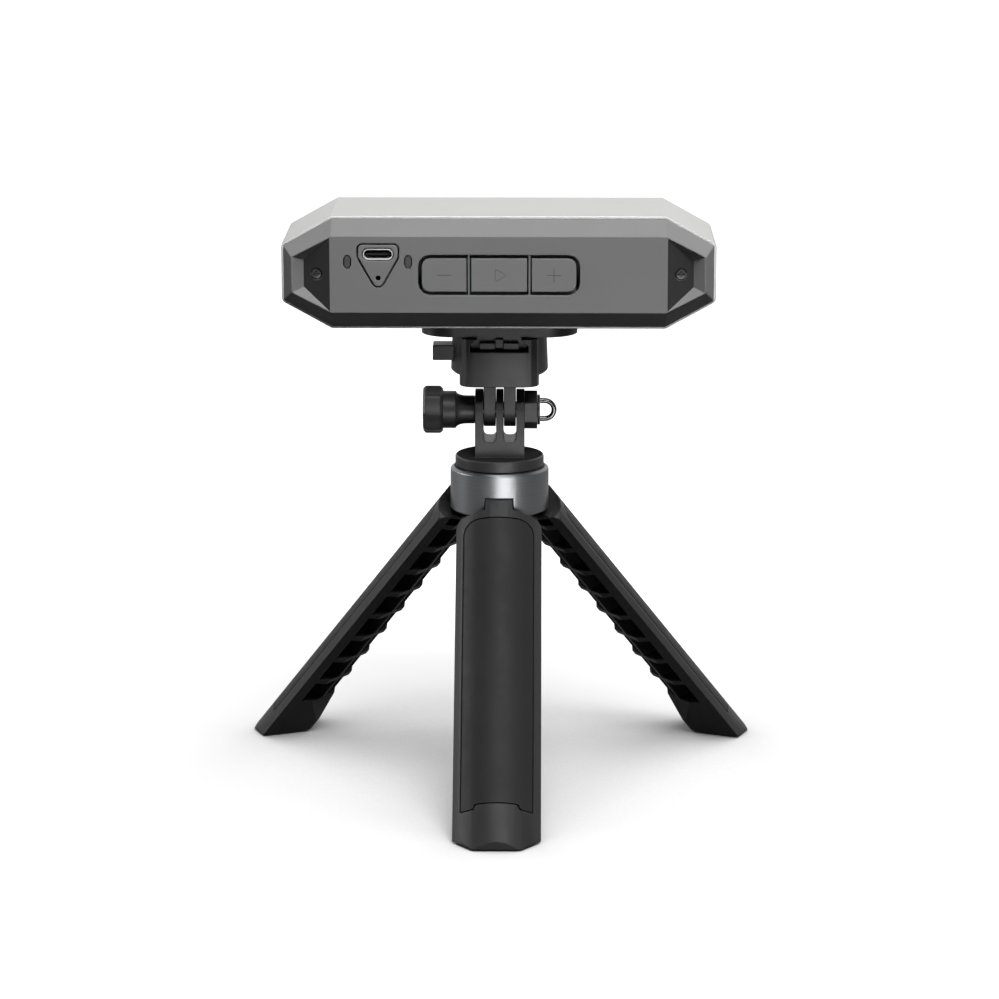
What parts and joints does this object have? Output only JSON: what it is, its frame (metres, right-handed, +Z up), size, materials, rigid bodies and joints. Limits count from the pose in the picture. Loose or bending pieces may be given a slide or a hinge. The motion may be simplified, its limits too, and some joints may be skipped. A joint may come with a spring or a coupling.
{
  "type": "three-d scanner",
  "caption": "Handheld three-d scanner with an octagonal shell and rear keys, clamped by a tilting knob joint on a folding mini tripod.",
  "frame": {"origin": "middle of the footprint on the floor, under the bounding box's bottom centre", "axes": "+Z up and the longest extent, +Y the way the scanner looks, +X to the right seen from behind it, where its keys and port are"},
  "size_m": [0.1584, 0.1387, 0.175],
  "materials": {
    "shell_silver": "fine silver-grey paint, satin",
    "cover_grey": "fine-grained dark grey, matte",
    "key_grey": "dark grey, matte",
    "black_plastic": "black, satin",
    "leg_black": "black, satin",
    "inlay_rubber": "soft-touch black",
    "pad_rubber": "matte dark grey",
    "gunmetal": "anodised gunmetal, satin",
    "steel": "plain steel",
    "dark_steel": "blackened steel, polished",
    "brass": "plain brass",
    "aluminium": "bead-blasted",
    "board_green": "green solder mask",
    "lens_glass": "coated glass",
    "window_black": "gloss black",
    "lamp_white": "milky white",
    "pipe_smoke": "smoked, satin",
    "tongue_black": "black, matte"
  },
  "bodies": {
    "base": {"hub_ring": "gunmetal", "hub_core": "black_plastic", "stud": "steel", "front_hinge_pin": "steel", "left_hinge_pin": "steel", "right_hinge_pin": "steel"},
    "leg_front": {"front_leg": "leg_black", "front_leg_inlay": "inlay_rubber", "front_foot_pad": "pad_rubber"},
    "leg_left": {"left_leg": "leg_black", "left_leg_inlay": "inlay_rubber", "left_foot_pad": "pad_rubber"},
    "leg_right": {"right_leg": "leg_black", "right_leg_inlay": "inlay_rubber", "right_foot_pad": "pad_rubber"},
    "adapter": {"fork_adapter": "black_plastic", "clamp_nut": "steel"},
    "knob": {"clamp_knob": "black_plastic", "clamp_screw": "steel", "nut_washer": "dark_steel", "wire_ring": "dark_steel"},
    "head": {"clamp_body": "black_plastic", "release_spring": "steel", "mounting_plate": "black_plastic", "plate_screw": "steel", "threaded_insert": "brass", "front_shell": "shell_silver", "rear_cover": "cover_grey", "left_cover_screw": "dark_steel", "right_cover_screw": "dark_steel", "port_insert": "cover_grey", "usb_shell": "steel", "usb_tongue": "tongue_black", "left_light_pipe": "pipe_smoke", "right_light_pipe": "pipe_smoke", "minus_switch": "steel", "play_switch": "steel", "plus_switch": "steel", "main_board": "board_green", "optical_bench": "aluminium", "front_window": "window_black", "left_camera_barrel": "black_plastic", "projector_barrel": "black_plastic", "colour_camera_barrel": "black_plastic", "right_camera_barrel": "black_plastic", "left_camera_lens": "lens_glass", "projector_lens": "lens_glass", "colour_camera_lens": "lens_glass", "right_camera_lens": "lens_glass", "left_lamp": "lamp_white", "right_lamp": "lamp_white"},
    "release": {"release_button": "black_plastic"},
    "minus_key": {"minus_button": "key_grey"},
    "play_key": {"play_button": "key_grey"},
    "plus_key": {"plus_button": "key_grey"}
  },
  "joints": [
    {"name": "front_leg_hinge", "type": "hinge", "parent": "base", "child": "leg_front", "pos_m": [0, 0.00778, 0.08772], "axis": [1, 0, 0], "range_deg": [0, 40.08]},
    {"name": "left_leg_hinge", "type": "hinge", "parent": "base", "child": "leg_left", "pos_m": [-0.00909, 0.02353, 0.08772], "axis": [-0.5, -0.866, 0], "range_deg": [0, 40.08]},
    {"name": "right_leg_hinge", "type": "hinge", "parent": "base", "child": "leg_right", "pos_m": [0.00909, 0.02353, 0.08772], "axis": [-0.5, 0.866, 0], "range_deg": [0, 40.08]},
    {"name": "adapter_swivel", "type": "hinge", "parent": "base", "child": "adapter", "pos_m": [0, 0.01828, 0.0955], "axis": [0, 0, 1], "continuous": true},
    {"name": "head_tilt", "type": "hinge", "parent": "adapter", "child": "head", "pos_m": [0, 0.01828, 0.1125], "axis": [1, 0, 0], "range_deg": [-80, 80]},
    {"name": "knob_turn", "type": "hinge", "parent": "adapter", "child": "knob", "pos_m": [0, 0.01828, 0.1125], "axis": [1, 0, 0], "continuous": true},
    {"name": "release_slide", "type": "slide", "parent": "head", "child": "release", "axis": [1, 0, 0], "range_m": [0, 0.002], "stiffness_N_per_m": 400},
    {"name": "minus_press", "type": "slide", "parent": "head", "child": "minus_key", "axis": [0, 1, 0], "range_m": [0, 0.0006], "stiffness_N_per_m": 1500},
    {"name": "play_press", "type": "slide", "parent": "head", "child": "play_key", "axis": [0, 1, 0], "range_m": [0, 0.0006], "stiffness_N_per_m": 1500},
    {"name": "plus_press", "type": "slide", "parent": "head", "child": "plus_key", "axis": [0, 1, 0], "range_m": [0, 0.0006], "stiffness_N_per_m": 1500}
  ]
}
